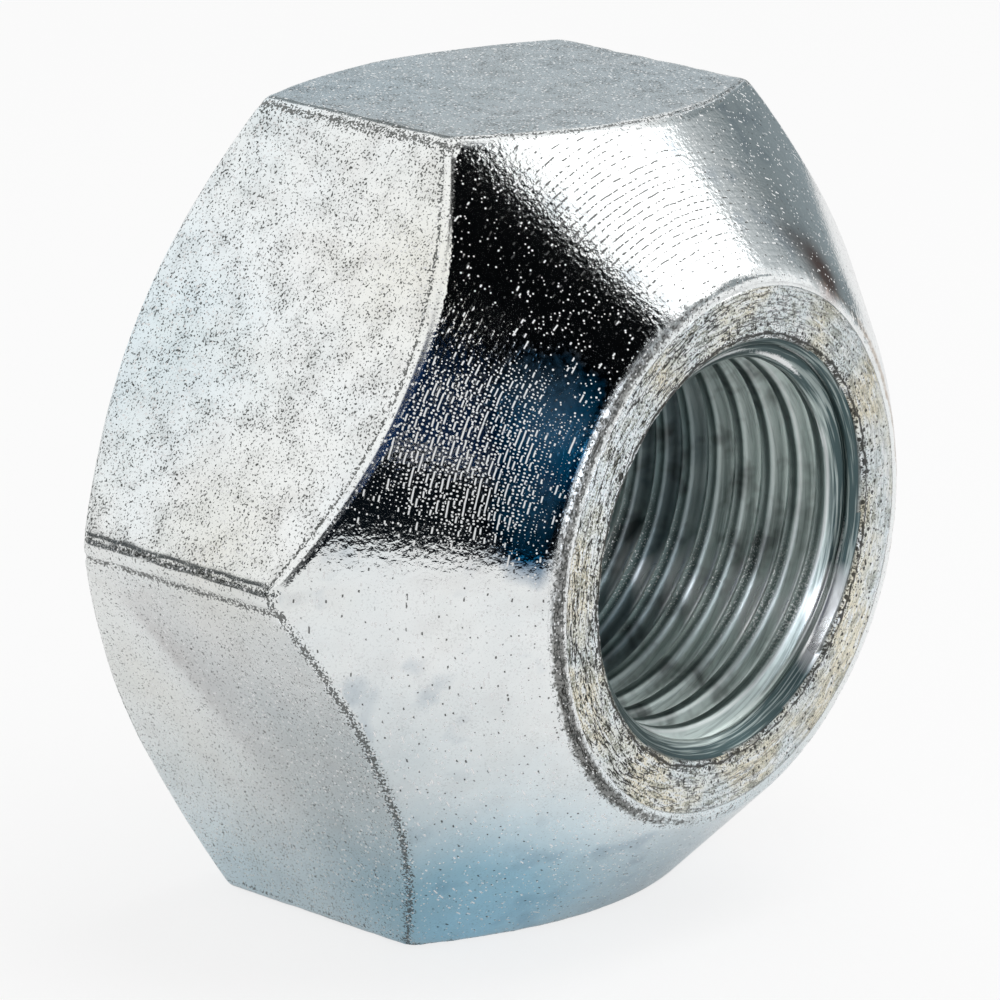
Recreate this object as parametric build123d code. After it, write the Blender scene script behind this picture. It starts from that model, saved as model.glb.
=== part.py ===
from build123d import *
import math
import os

# Wheel lug nut, open at both ends, with a 90 degree conical seat.
# One cold-forged and turned piece of steel, lying on one flat of its hexagon.
#
# Frame, in millimetres: the thread axis is Y, with the conical seat facing -Y.
# Z is up and square to the flat that the nut lies on, and X runs across two corners.
# The origin is on the thread axis, halfway along the nut.

INCH = 25.4

# Driving dimensions
ACROSS_FLATS = 1.5 * INCH
NUT_LENGTH = 0.875 * INCH
THREAD_MAJOR = 0.75 * INCH
THREADS_PER_INCH = 16

# Conical seat, which centres the nut in the wheel's stud hole
SEAT_INCLUDED_ANGLE = 90.0
SEAT_NOSE_RADIUS = 12.8  # where the cone would meet the flat end face
NOSE_ROUNDING = 1.0

# Back end, chamfered all round so that a socket slides on
BACK_CHAMFER_ANGLE = 35.0  # from the end face
BACK_FACE_RADIUS = 18.85

# Countersinks at both mouths of the thread
COUNTERSINK_INCLUDED_ANGLE = 90.0
COUNTERSINK_CLEARANCE = 0.35  # at the mouth, on the radius, beyond the thread's major diameter

# Forged edges
HEX_CORNER_ROUNDING = 1.0
SEAT_EDGE_ROUNDING = 0.5
CHAMFER_EDGE_ROUNDING = 0.4

# Worked out from the driving dimensions
PITCH = INCH / THREADS_PER_INCH
THREAD_MAJOR_RADIUS = THREAD_MAJOR / 2
THREAD_DEPTH = 0.488 * PITCH  # a 75 percent engagement, as tapped nuts have
BORE_RADIUS = THREAD_MAJOR_RADIUS - THREAD_DEPTH
MOUTH_RADIUS = THREAD_MAJOR_RADIUS + COUNTERSINK_CLEARANCE
FRONT_FACE_Y = -NUT_LENGTH / 2
BACK_FACE_Y = NUT_LENGTH / 2
CORNER_RADIUS = ACROSS_FLATS / math.sqrt(3)
ENVELOPE_RADIUS = CORNER_RADIUS + 1.0  # just clears the sharp corners
SMALLEST_STEP = 0.01  # two places nearer than this along Y are the same


def hexagon_bar():
    """A bar of the nut's hexagon along Y, with two flats level and the corners rounded."""
    section = Plane.XZ * RegularPolygon(ACROSS_FLATS / 2, 6, major_radius=False)
    bar = extrude(section, NUT_LENGTH / 2, both=True)
    return fillet(bar.edges().filter_by(Axis.Y), HEX_CORNER_ROUNDING)


def turned_envelope():
    """The solid of revolution that cuts the seat cone and the back chamfer on the bar."""
    seat_run = (ENVELOPE_RADIUS - SEAT_NOSE_RADIUS) / math.tan(math.radians(SEAT_INCLUDED_ANGLE / 2))
    chamfer_run = (ENVELOPE_RADIUS - BACK_FACE_RADIUS) * math.tan(math.radians(BACK_CHAMFER_ANGLE))
    half_section = Polyline(
        (0, FRONT_FACE_Y),
        (SEAT_NOSE_RADIUS, FRONT_FACE_Y),
        (ENVELOPE_RADIUS, FRONT_FACE_Y + seat_run),
        (ENVELOPE_RADIUS, BACK_FACE_Y - chamfer_run),
        (BACK_FACE_RADIUS, BACK_FACE_Y),
        (0, BACK_FACE_Y),
        close=True,
    )
    return revolve(make_face(half_section), Axis.Y)


def bore_tool():
    """The tapping bore and the countersinks at its two mouths, as one solid to cut away."""
    sink_depth = (MOUTH_RADIUS - BORE_RADIUS) / math.tan(math.radians(COUNTERSINK_INCLUDED_ANGLE / 2))
    half_section = Polyline(
        (0, FRONT_FACE_Y),
        (MOUTH_RADIUS, FRONT_FACE_Y),
        (BORE_RADIUS, FRONT_FACE_Y + sink_depth),
        (BORE_RADIUS, BACK_FACE_Y - sink_depth),
        (MOUTH_RADIUS, BACK_FACE_Y),
        (0, BACK_FACE_Y),
        close=True,
    )
    return revolve(make_face(half_section), Axis.Y)


def scalloped_edges(blank, face_position):
    """The edges where the cone or chamfer runs off the hexagon, on the end face's half of the nut: six
    arches and six corner arcs."""
    return [
        edge
        for edge in blank.edges()
        if edge.center().Y * face_position > 0
        and not is_along_axis(edge)
        and not is_round_the_end_face(edge, face_position)
    ]


def is_along_axis(edge):
    """True for the straight lines along the bar, where a flat runs into its rounded corner."""
    return edge.geom_type == GeomType.LINE


def is_round_the_end_face(edge, face_position):
    """True for the circle where the cone or chamfer meets the flat end face."""
    return abs(edge.center().Y - face_position) < SMALLEST_STEP


def lug_nut():
    """The finished nut: bar and envelope in common, edges rounded, then bored."""
    blank = hexagon_bar() & turned_envelope()
    blank = fillet(scalloped_edges(blank, FRONT_FACE_Y), SEAT_EDGE_ROUNDING)
    blank = fillet(scalloped_edges(blank, BACK_FACE_Y), CHAMFER_EDGE_ROUNDING)
    nose_edge = blank.edges().filter_by(GeomType.CIRCLE).sort_by(Axis.Y)[0]
    blank = fillet(nose_edge, NOSE_ROUNDING)
    return blank - bore_tool()


os.makedirs("parts", exist_ok=True)
nut = lug_nut()
print("lug_nut", round(nut.volume), "mm3", nut.bounding_box().size)
export_step(nut, "parts/nut_body.step")
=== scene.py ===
import functools
import itertools
import math
import types

import bpy
import numpy as np
from bpy.props import FloatProperty, FloatVectorProperty, IntProperty, PointerProperty, StringProperty
from mathutils import Matrix, Vector


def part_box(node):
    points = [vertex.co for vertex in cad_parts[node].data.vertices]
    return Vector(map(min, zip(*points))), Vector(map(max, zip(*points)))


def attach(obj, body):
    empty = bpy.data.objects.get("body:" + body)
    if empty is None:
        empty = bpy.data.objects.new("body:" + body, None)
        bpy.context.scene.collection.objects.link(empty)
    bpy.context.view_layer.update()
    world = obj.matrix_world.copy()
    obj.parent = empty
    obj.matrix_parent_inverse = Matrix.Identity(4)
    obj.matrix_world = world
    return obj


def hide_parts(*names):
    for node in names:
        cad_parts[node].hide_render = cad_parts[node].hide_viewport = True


bl_info = {
    "name": "Lug Nut Maker",
    "version": (1, 0, 0),
    "blender": (4, 5, 0),
    "location": "3D View > Sidebar > Lug Nut",
    "description": "Builds an open-ended lug nut in zinc-plated steel, with its studio",
    "category": "Add Mesh",
}

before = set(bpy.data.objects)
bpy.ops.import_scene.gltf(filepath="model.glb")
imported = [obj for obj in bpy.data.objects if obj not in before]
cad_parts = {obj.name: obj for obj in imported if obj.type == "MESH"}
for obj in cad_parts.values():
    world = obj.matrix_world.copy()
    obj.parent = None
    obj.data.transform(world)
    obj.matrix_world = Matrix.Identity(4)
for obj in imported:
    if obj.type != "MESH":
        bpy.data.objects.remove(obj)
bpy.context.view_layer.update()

NODE = "nut_body"
# What the material reads from the mesh. Masks say where something is, from 0 to 1; "deep" is millimetres
# from the bore's mouth and "turn" is the angle round the axis
BORE_MASKS = ("thread", "deep", "crest", "lip", "glint")
OUTSIDE_MASKS = ("turned", "nose", "worn", "rim", "ragged", "brown", "polished", "streak", "shaded", "clean")
MM = 0.001
INCH = 0.0254
LOW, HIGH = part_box(NODE)
FRONT = LOW.y  # the end face inside the conical seat
BACK = HIGH.y
SECTOR = math.pi / 3  # the hexagon repeats after this angle, with its first corner on +X
MOUTH_BEVEL = 0.12 * MM  # the broken edge where an end face meets its countersink

# Bands of wear along the six long edges, from the one on +X towards +Z. Each edge has two bands: how far
# the band's middle lies past the corner line and its half width, in millimetres, and its strength
CORNER_WEAR = (
    ((-0.25, 0.20, 0.6), (0.50, 0.10, 0.4)),
    ((0.25, 0.24, 0.7), (-0.50, 0.10, 0.3)),
    ((0.25, 0.26, 0.9), (-0.50, 0.08, 0.2)),
    ((-0.22, 0.17, 0.8), (0.78, 0.16, 1.0)),
    ((0.30, 0.20, 0.8), (-0.50, 0.10, 0.4)),
    ((-0.20, 0.20, 0.6), (0.50, 0.10, 0.4)),
)
# Wear where the seat runs off each of the six flats: how far the band's middle lies on the flat and its half
# width, in millimetres, and its strength
SEAT_EDGE_WEAR = (
    (0.0, 0.16, 0.7),
    (0.10, 0.16, 0.85),
    (0.30, 0.08, 0.9),
    (0.0, 0.26, 1.0),
    (0.0, 0.20, 0.9),
    (0.0, 0.16, 0.7),
)

# Stains, marks and painted shade on the plate: the cell, in millimetres, and the seed of the noise that
# wears their outlines, and their spots, each as x, y, z and radius in millimetres, and strength. The
# passivate is blue, thickest and deep blue, or yellowed to cream; painted grey-blue shade lies low on the
# lower left flat and on the seat; handling has stained the seat; white specks stand in rows along the
# turning marks as painted glints; and the marks are scored deepest
STAINS = {
    "blue": (5, 41, (
        (-8, -5, -17, 6.5, 1.0), (-12, -4, -15, 4, 0.5), (4, -6, -18, 6, 0.7), (-9, 8, -17, 6, 0.45),
        (-19, 10, 10, 6, 0.35), (16, 4, 12, 6, 0.3), (-6, 9, 19, 6, 0.25),
    )),
    "deep_blue": (1.5, 42, (
        (-11.4, -9.8, 7.0, 2.4, 0.9), (-13.2, -9.3, 3.8, 1.9, 0.55), (-12.4, -8.2, 8.6, 2.2, 0.3),
    )),
    "cream": (3, 43, (
        (-14, -3, 14, 5, 0.35), (-20, 2, 1, 4, 0.35), (-19, 8, -8, 5, 0.3), (12, 11, 8, 5, 0.3),
        (18, 0, -8, 6, 0.3),
    )),
    # Painted shade, grey-blue, low on the lower left flat and on the lower part of the seat
    "shade_below": (2.5, 46, (
        (-16.5, -5, -9.5, 6, 0.32), (-13, -1, -15.5, 5, 0.3), (-18.5, 2, -6, 3.5, 0.2),
        (2, -6, -18, 5.5, 0.55), (5, -8, -14, 4.5, 0.45),
    )),
    "stained": (1, 47, (
        (6.3, -9.9, 12.4, 1.3, 0.9), (6.8, -10.5, 11.4, 0.9, 0.8), (5.0, -9.2, 13.6, 0.9, 0.4),
    )),
    "rowed": (2, 44, (
        (-15.4, -7, 7.2, 3.9, 1.2), (-14.4, -8.2, 4.6, 2.6, 0.45), (-12, -9.8, 7.6, 2.6, 0.12),
        (9, -7, -13, 6, 0.7), (15, -7, 8, 5, 0.5),
    )),
    "scored": (2, 45, ((-5.5, -7, 15.5, 4.5, 1.1), (0, -8, 15, 3.2, 0.5), (13, -7, -11, 6, 0.6))),
}
SURFACE_MASKS = OUTSIDE_MASKS + BORE_MASKS + tuple(STAINS) + ("turn",)

# Noise that the finish draws on. In space: cell in millimetres, detail and roughness. Drawn out along
# circles round the axis: cells per unit of the lathe coordinates, detail and roughness
SPACE_NOISE = {
    "patch": (3.5, 2.0, 0.6),
    "dirt": (2.6, 3.0, 0.65),
    "mottle": (1.4, 3.0, 0.65),
    "grain": (0.26, 2.0, 0.55),
    "grit": (0.10, 1.0, 0.5),
}
LATHE_NOISE = {
    "broken": ((16.0, 1.6, 16.0), 2.0, 0.6),
    "torn": ((9.0, 4.4, 9.0), 4.0, 0.74),
    "cracks": ((5.0, 2.6, 5.0), 3.0, 0.64),
    "blotch": ((2.6, 0.35, 2.6), 2.0, 0.6),
    "cut_lines": ((2.2, 10.0, 2.2), 2.0, 0.65),
}
SEAT_RADIUS = 16.0  # millimetres, about the middle of the seat, where an angle is measured as an arc
MARK_SPACING = 0.25  # millimetres of radius between turning marks
ROW_SPACING = 0.165  # millimetres of radius between rows of oxide

# Whole numbers that scramble the lattice noise's cells
LATTICE_PRIMES = np.array((73856093, 19349663, 83492791), dtype=np.uint64)
SCRAMBLERS = np.uint64(0x9E3779B97F4A7C15), np.uint64(0xBF58476D1CE4E5B9)


# ---------------------------------------------------------------------------------------------
# Settings that a user would change
# ---------------------------------------------------------------------------------------------


def a_length(name, description, default):
    """A setting in metres."""
    return FloatProperty(name=name, description=description, default=default, unit="LENGTH")


def an_angle(name, description, default):
    """A setting in radians, shown in degrees."""
    return FloatProperty(name=name, description=description, default=default, unit="ROTATION")


def a_number(name, description, default):
    """A setting without a unit."""
    return FloatProperty(name=name, description=description, default=default)


def a_colour(name, description, default):
    """A setting that is an sRGB hex colour."""
    return StringProperty(name=name, description=description, default=default)


class NutSizes(bpy.types.PropertyGroup):
    """Sizes of the nut, in metres, as the solid model has them."""

    across_flats: a_length("Across flats", "Width of the hexagon across two flats", HIGH.z - LOW.z)
    corner_rounding: a_length("Corner rounding", "Radius on the hexagon's six long edges", 1.0 * MM)
    nose_radius: a_length("Nose radius", "Where the seat cone would meet the front face", 12.8 * MM)
    nose_rounding: a_length("Nose rounding", "Radius between the front face and the seat cone", 1.0 * MM)
    back_radius: a_length("Back face radius", "Where the back chamfer meets the back face", 18.85 * MM)
    back_chamfer: an_angle("Back chamfer", "Angle of the back chamfer from the back face", math.radians(35))
    seat_edge: a_length("Seat edge", "Radius where the seat cone runs off the flats", 0.5 * MM)
    chamfer_edge: a_length("Chamfer edge", "Radius where the chamfer runs off the flats", 0.4 * MM)
    thread_major: a_length("Thread major radius", "Radius at the roots of the internal thread", 0.375 * INCH)
    pitch: a_length("Pitch", "Distance between neighbouring thread crests", INCH / 16)
    engagement: FloatProperty(
        name="Thread depth",
        description="Depth of the thread as a share of the pitch",
        default=0.488,
        min=0.2,
        max=0.6,
    )
    mouth_clearance: a_length("Mouth clearance", "Countersink radius beyond the major radius", 0.35 * MM)
    nose_wear: a_length("Nose wear", "Deepest wear of the rounding beside the end face", 0.27 * MM)
    sector_columns: IntProperty(
        name="Columns per side",
        description="Mesh columns on each of the six sides, a multiple of three",
        default=81,
        min=24,
    )


class ZincFinish(bpy.types.PropertyGroup):
    """Colours of the plating and of what lies on it and in its pits, as sRGB hex values."""

    bright: a_colour("Bright zinc", "Fresh zinc", "F4F7F7")
    dull: a_colour("Dull zinc", "Where handling has dulled it", "C6CAC9")
    blue: a_colour("Blue passivate", "Where it has a blue cast", "B2DCEE")
    deep_blue: a_colour("Deep blue", "Where it is thickest", "095F89")
    cream: a_colour("Cream passivate", "Where it has yellowed", "E2DDCB")
    # White for glints: matt specks on the plate, painted highlights in the thread and on the end face
    oxide_and_glints: a_colour("White specks and glints", "Matt white specks and painted glints", "FCFDFD")
    soot: a_colour("Pit residue", "Dark residue in pits", "34322E")
    chip: a_colour("Chipped edge", "Dull metal along chipped edges", "5E605E")
    torn: a_colour("Torn end face", "Cream zinc on the end face", "EDE6D1")
    torn_blue: a_colour("Torn, blue", "Bluer part of the end face", "E3EBED")
    # Painted shade in the end face's hollows, and grey mottle
    torn_grey_and_shade: a_colour("Torn, grey", "Painted shade in hollows, and grey mottle", "989B8D")
    brown: a_colour("Brown edge", "Tan stain round the end face", "A58D72")
    rim: a_colour("Rim", "Dulled rounding beside the seat", "66645F")
    mouth: a_colour("Mouth", "Thread next to its mouth", "4E6062")
    thread: a_colour("Thread", "Bright zinc in the bore", "E6F2EE")
    grime: a_colour("Grime", "Dark blotches in the thread", "3C4040")
    crest: a_colour("Thread crest", "Dull tops of the thread", "5A6C6B")
    # Painted shade beside the painted light streak on the lower left flat
    shaded: a_colour("Streak shade", "Painted shade beside the light streak", "C0BCBE")
    # Painted grey-blue shade low on the nut
    shade_below: a_colour("Shade below", "Painted grey-blue shade low on the nut", "8EA3AC")
    stained: a_colour("Brown stain", "Handling stain on the seat", "80594C")
    # Painted shade deep inside the bore
    thread_deep_shade: a_colour("Deep thread", "Painted shade deep inside the bore", "86969A")


class StudioSettings(bpy.types.PropertyGroup):
    """Where the camera stands and how bright the studio is."""

    azimuth: an_angle("Azimuth", "Camera's angle round the nut from the seat side", math.radians(-51.537))
    elevation: an_angle("Elevation", "Camera's height above level", math.radians(16.059))
    roll: an_angle("Roll", "Camera's turn about its own axis", math.radians(3.253))
    distance: a_length("Distance", "From the middle of the front face", 259.19 * MM)
    offset: FloatVectorProperty(
        name="Offset",
        description="Camera's step to its right and up",
        default=(-10.730 * MM, 2.332 * MM),
        size=2,
        unit="LENGTH",
    )
    lens: a_number("Lens", "Focal length in millimetres", 205.217)
    white_level: a_number("White level", "Radiance of the white studio round the nut", 1.0)
    fill_level: a_number("Fill level", "Radiance of the studio as soft light on matt surfaces", 0.55)
    top_level: a_number("Top level", "Radiance of the overhead soft box", 2.7)
    floor_lift: a_number("Floor lift", "Share of pure white in the floor as the eye sees it", 0.8)
    mirrored_lift: a_number("Mirrored lift", "The same share in reflections", 0.25)


# ---------------------------------------------------------------------------------------------
# Mesh building
# ---------------------------------------------------------------------------------------------


def lattice_noise(points, cell, seed):
    """Smooth random values from -1 to 1 at each point. Random numbers stand on a cubic lattice of the
    given cell, scrambled from its place and the seed, and the eight round each point are blended with the
    quintic fade 6t^5 - 15t^4 + 10t^3."""
    scaled = points / cell
    base = np.floor(scaled).astype(np.int64)
    part = scaled - base
    fade = part**3 * (part * (part * 6 - 15) + 10)
    total = np.zeros(points.shape[:-1])
    for corner in itertools.product((0, 1), repeat=3):
        at = (base + corner).astype(np.uint64)
        mixed = np.bitwise_xor.reduce(at * LATTICE_PRIMES, axis=-1)
        mixed = (mixed + np.uint64(seed)) * SCRAMBLERS[0]
        mixed = (mixed ^ (mixed >> np.uint64(31))) * SCRAMBLERS[1]
        value = ((mixed >> np.uint64(40)).astype(float) / 2**23) - 1
        weight = np.prod(np.where(corner, fade, 1 - fade), axis=-1)
        total += weight * value
    return total


def layered_noise(points, cell, seed, layers=3):
    """Lattice noise in layers, each with half the cell and half the height of the one before."""
    total = sum(lattice_noise(points, cell / 2**k, seed + 101 * k) / 2**k for k in range(layers))
    return total / (2 - 2 ** (1 - layers))


def column_angles(sizes):
    """Angles of the mesh columns round the axis. They stand closer together near the six corners:
    their density is 1 + 4 exp(-(angle from corner / 1.8 degrees)^2), summed and read back evenly."""
    fine = np.linspace(0, SECTOR, 4001)
    from_corner = np.minimum(fine, SECTOR - fine)
    density = 1 + 4 * np.exp(-((from_corner / math.radians(1.8)) ** 2))
    summed = np.concatenate([[0], np.cumsum((density[1:] + density[:-1]) / 2)])
    even = np.arange(sizes.sector_columns) / sizes.sector_columns * summed[-1]
    sector = np.interp(even, summed, fine)
    return (sector + SECTOR * np.arange(6)[:, None]).ravel()


def hexagon_radius(theta, sizes):
    """Distance from the axis to the hexagon's outline at each angle. On a flat it is half the across-flats
    size over the cosine of the angle from the flat's middle. Near a corner it is the far crossing with the
    rounding circle."""
    flat, rounding = sizes.across_flats / 2, sizes.corner_rounding
    from_corner = (theta + SECTOR / 2) % SECTOR - SECTOR / 2
    from_middle = SECTOR / 2 - np.abs(from_corner)
    centre = (flat - rounding) / math.cos(SECTOR / 2)
    inside = np.maximum(rounding**2 - (centre * np.sin(from_corner)) ** 2, 0)
    rounded = centre * np.cos(from_corner) + np.sqrt(inside)
    tangent = math.atan((flat - rounding) * math.tan(SECTOR / 2) / flat)
    return np.where(from_middle > tangent, rounded, flat / np.cos(from_middle))


def easing(rows, packed):
    """Row positions from 0 to 1, ends left out. packed is how strongly they crowd towards both ends:
    a straight line mixed with half a cosine wave."""
    even = np.arange(1, rows + 1) / (rows + 1)
    return ((1 - packed) * even + packed * (1 - np.cos(np.pi * even)) / 2)[:, None]


def straight(start, end, rows, packed=0.0):
    """Rows of points between two rings, each point (radius, position along the axis)."""
    share = easing(rows, packed)
    return start[0] + (end[0] - start[0]) * share, start[1] + (end[1] - start[1]) * share


def corner_arc(before, corner, after, reach, rows):
    """Rows that round a corner of the profile: a quadratic curve from the point `reach` before the corner
    to the point `reach` after it, with the corner as its control point. Beside a short stretch it takes at
    most 0.4 of the stretch."""

    def towards(point):
        dr, dy = point[0] - corner[0], point[1] - corner[1]
        length = np.hypot(dr, dy)
        share = np.minimum(reach / length, 0.4)
        return corner[0] + dr * share, corner[1] + dy * share

    start, end = towards(before), towards(after)
    t = np.linspace(0, 1, rows)[:, None]
    r = (1 - t) ** 2 * start[0] + 2 * t * (1 - t) * corner[0] + t**2 * end[0]
    y = (1 - t) ** 2 * start[1] + 2 * t * (1 - t) * corner[1] + t**2 * end[1]
    return (r, y), start, end


def outer_profile(theta, sizes):
    """The outside of the nut from the front mouth of the bore to the back one, as rows of radius and
    position for every column. At each angle it is one section: flat nose, rounding, seat cone, flat of the
    hexagon, back chamfer and back face. Also gives the rows of each stretch by name."""
    ring = np.ones_like(theta)
    hexagon = hexagon_radius(theta, sizes)
    mouth = (sizes.thread_major + sizes.mouth_clearance) * ring
    nose, back = sizes.nose_radius * ring, sizes.back_radius * ring
    p_mouth_front = (mouth, FRONT * ring)
    p_nose = (nose, FRONT * ring)
    p_seat = (hexagon, FRONT + (hexagon - nose))
    p_chamfer = (hexagon, BACK - (hexagon - back) * math.tan(sizes.back_chamfer))
    p_back = (back, BACK * ring)
    p_mouth_back = (mouth, BACK * ring)
    half_turn = math.tan(math.radians(22.5))
    nose_reach = sizes.nose_rounding * half_turn * 1.15
    nose_arc, nose_start, nose_end = corner_arc(p_mouth_front, p_nose, p_seat, nose_reach, 9)
    seat_arc, seat_start, seat_end = corner_arc(p_nose, p_seat, p_chamfer, sizes.seat_edge * 0.62, 8)
    chamfer_reach = sizes.chamfer_edge * 0.7
    chamfer_arc, chamfer_start, chamfer_end = corner_arc(p_seat, p_chamfer, p_back, chamfer_reach, 7)
    back_arc, back_start, back_end = corner_arc(p_chamfer, p_back, p_mouth_back, 0.25 * MM, 4)
    bevel = MOUTH_BEVEL
    stretches = [
        ("mouth", (np.stack([mouth, mouth + bevel]), np.stack([(FRONT + bevel) * ring, FRONT * ring]))),
        ("nose", straight((mouth + bevel, FRONT * ring), nose_start, 23, 0.2)),
        ("nose_round", nose_arc),
        ("seat", straight(nose_end, seat_start, 33, 0.5)),
        ("seat_edge", seat_arc),
        ("flat", straight(seat_end, chamfer_start, 30, 0.5)),
        ("chamfer_edge", chamfer_arc),
        ("chamfer", straight(chamfer_end, back_start, 5, 0.3)),
        ("back_edge", back_arc),
        ("back", straight(back_end, (mouth + bevel, BACK * ring), 13, 0.3)),
        ("back_mouth", (np.stack([mouth + bevel, mouth]), np.stack([BACK * ring, (BACK - bevel) * ring]))),
    ]
    radius = np.concatenate([part[0] for _, part in stretches])
    along = np.concatenate([part[1] for _, part in stretches])
    ends = np.cumsum([part[0].shape[0] for _, part in stretches])
    rows = {name: slice(end - part[0].shape[0], end) for (name, part), end in zip(stretches, ends)}
    return radius, along, rows


def thread_rows():
    """One pitch of the internal thread as (share of the pitch, depth below the crest as a share). Two
    straight flanks join a crest flat of 0.31 pitch and a root flat of 0.13, as in a 60 degree thread cut to
    three quarters of its depth. Rows crowd round the flats' ends, and 3t^2 - 2t^3 eases those a little."""
    half = np.array([0, 0.11, 0.17, 0.24, 0.34, 0.42])
    share = np.concatenate([half, [0.5], 1 - half[:0:-1]])
    ramp = 1 - np.abs(2 * share - 1)
    t = np.clip((ramp - 0.29) / (0.88 - 0.29), 0, 1)
    return share, 0.65 * t + 0.35 * t * t * (3 - 2 * t)


def bore_profile(theta, sizes, front, back):
    """The threaded bore from the back mouth to the front one. The rows lean with the thread, so that each
    one follows the helix: position = start - pitch x turn, right-handed. Past a mouth they are held at its
    ring. Where the countersink is wider than the thread, it wins, and the lip is where the two meet."""
    share, deep = thread_rows()
    turns = int(math.ceil((back - front) / sizes.pitch)) + 2
    phase = (np.arange(turns)[:, None] + share).ravel()
    depth = np.tile(deep, turns) * sizes.engagement * sizes.pitch
    along = front + sizes.pitch * (phase[:, None] - theta / (2 * math.pi))
    minor = sizes.thread_major - sizes.engagement * sizes.pitch
    radius = minor + depth[:, None] + np.zeros_like(along)
    along = np.clip(along, front, back)
    mouth = sizes.thread_major + sizes.mouth_clearance
    sink = mouth - np.minimum(along - front, back - along)
    crest = 1 - np.clip(depth / depth.max(), 0, 1)[:, None] + np.zeros_like(along)
    crest = crest * np.clip((radius - sink) / (0.15 * MM), 0, 1)
    lip = band(radius - sink, 0.02 * MM, 0.07 * MM) * (depth[:, None] > 0.1 * MM)
    return np.maximum(radius, sink)[::-1], along[::-1], crest[::-1], lip[::-1]


def grid_points(radius, along, theta):
    """Points in space of rows of radius and position for every column angle."""
    return np.stack([radius * np.cos(theta), along, radius * np.sin(theta)], axis=-1)


def grid_normals(points):
    """Outward normals of a closed grid: the cross product of its steps down the columns and along the
    rows."""
    across = np.roll(points, -1, axis=1) - np.roll(points, 1, axis=1)
    down = np.gradient(points, axis=0)
    normal = np.cross(down, across)
    return normal / np.maximum(np.linalg.norm(normal, axis=-1, keepdims=True), 1e-12)


def band(distance, middle, width):
    """1 in the middle of a band, falling to 0 as exp(-((distance - middle) / width)^2)."""
    return np.exp(-(((distance - middle) / width) ** 2))


def round_the_axis(theta, middle, width):
    """The same band round the axis, with its middle and width in degrees."""
    away = (theta - math.radians(middle) + math.pi) % (2 * math.pi) - math.pi
    return band(away, 0, math.radians(width))


def nose_ring(radius, along, middle, half_width):
    """1 on a ring round the nose, falling to 0 at 1.25 half widths from its middle radius, both given in
    millimetres."""
    return np.clip(1.25 - np.abs(radius / MM - middle) / half_width, 0, 1) * (along < FRONT + 3 * MM)


def corner_wear(theta, past_corner):
    """Wear along the six long edges from 0 to 1: the stronger of the two bands that each edge has."""
    nearest = np.round(theta / SECTOR).astype(int) % 6
    middle, width, strength = np.moveaxis(np.array(CORNER_WEAR)[nearest], -1, 0)
    bands = strength * band(past_corner[..., None], middle * MM, width * MM)
    return bands.max(axis=-1)


def seat_edge_wear(theta, past_edge):
    """Wear where the seat runs off the flats, from 0 to 1, as wide and strong as each flat has it."""
    side = (theta // SECTOR).astype(int) % 6
    middle, width, strength = np.array(SEAT_EDGE_WEAR)[side].T
    return strength * band(past_edge, middle * MM, width * MM)


def painted_streak(points):
    """A painted reflection on the lower left flat: a light streak, with painted shade beside it. They part
    sharply along a line across the flat. The light fades out towards the back as exp(-distance / 1.9 mm),
    and the shade towards the front as exp(-distance / 3.5 mm)."""
    start, direction = np.array((7.37, -3.63)), np.array((-0.529, -0.849))
    from_start = points[..., 1:] / MM - start
    along = from_start @ direction
    beside = from_start @ np.array((-direction[1], direction[0]))
    fading = np.where(beside > 0, np.exp(-np.maximum(beside, 0) / 1.9), np.exp(-((beside / 0.25) ** 2)))
    shade = np.where(beside < 0, np.exp(np.minimum(beside, 0) / 3.5), np.exp(-((beside / 0.25) ** 2)))
    reach = 1 / (1 + np.exp(-(along + 1.0) / 0.5)) / (1 + np.exp((along - 6.5) / 1.2))
    return fading * reach, shade * reach


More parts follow.
